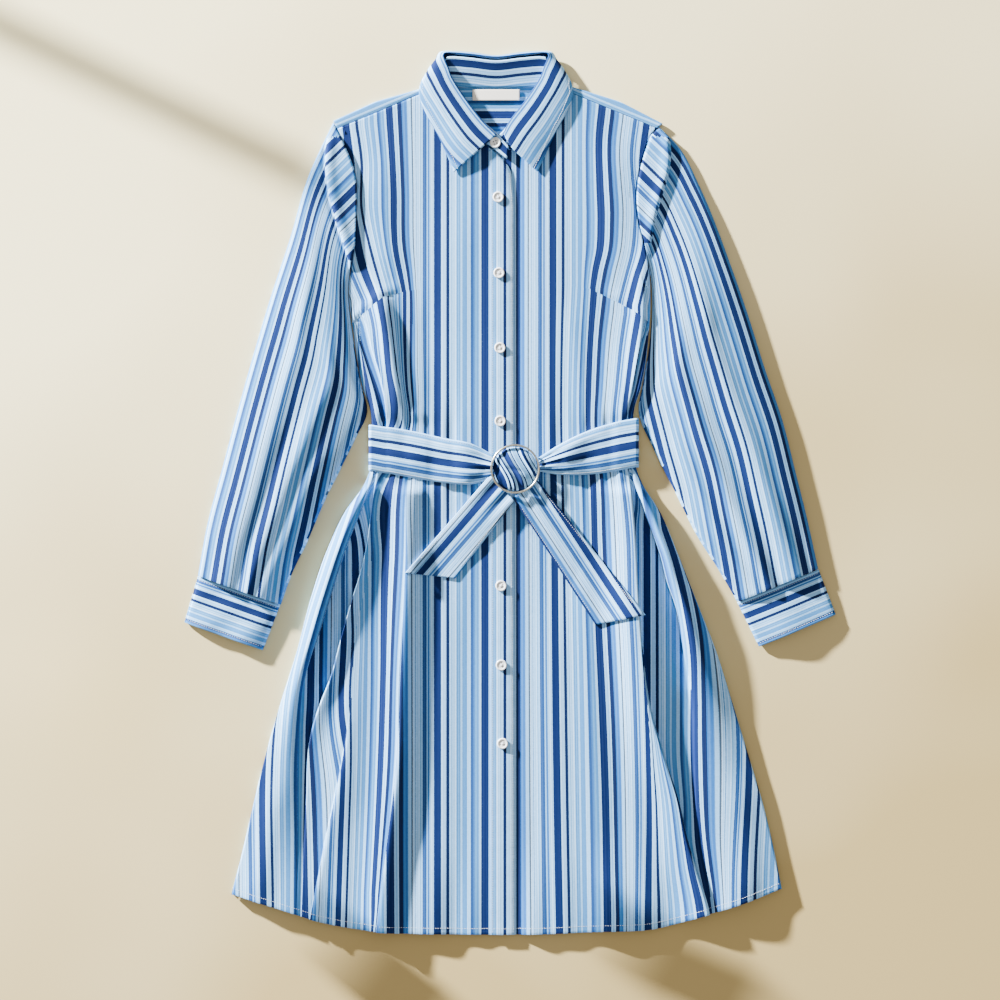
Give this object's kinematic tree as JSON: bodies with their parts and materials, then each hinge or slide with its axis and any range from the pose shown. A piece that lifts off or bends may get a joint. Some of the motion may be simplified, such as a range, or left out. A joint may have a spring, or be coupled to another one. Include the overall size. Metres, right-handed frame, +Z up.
{
  "type": "shirt dress",
  "caption": "Long-sleeved shirt dress in striped cotton, laid flat: point collar, buttoned front, turned cuffs, flared skirt and a tie belt drawn through a metal ring.",
  "frame": {"origin": "on the surface that the dress lies on, under the centre of its bounding box", "axes": "+Y from the hem towards the collar, +Z up out of the surface, +X towards the wearer's left sleeve"},
  "size_m": [0.7482, 1.0138, 0.0161],
  "materials": {
    "striped_cotton": "matt plain-woven cotton with yarn-dyed blue and white stripes",
    "label_tape": "matt woven tape, bare",
    "pearl_button": "glossy, pearly white",
    "ring_metal": "polished, slightly warm silver"
  },
  "bodies": {
    "root": {"back": "striped_cotton", "yoke": "striped_cotton", "front_right": "striped_cotton", "front_left": "striped_cotton", "placket": "striped_cotton", "sleeve_right": "striped_cotton", "sleeve_left": "striped_cotton", "cuff_right": "striped_cotton", "cuff_left": "striped_cotton", "collar_stand": "striped_cotton", "collar_fall": "striped_cotton", "neck_label": "label_tape", "belt_waist": "striped_cotton", "belt_knot": "striped_cotton", "belt_tail_right": "striped_cotton", "belt_tail_left": "striped_cotton", "ring": "ring_metal", "button_1": "pearl_button", "button_2": "pearl_button", "button_3": "pearl_button", "button_4": "pearl_button", "button_5": "pearl_button", "button_6": "pearl_button", "button_7": "pearl_button", "button_neck": "pearl_button"}
  },
  "joints": []
}
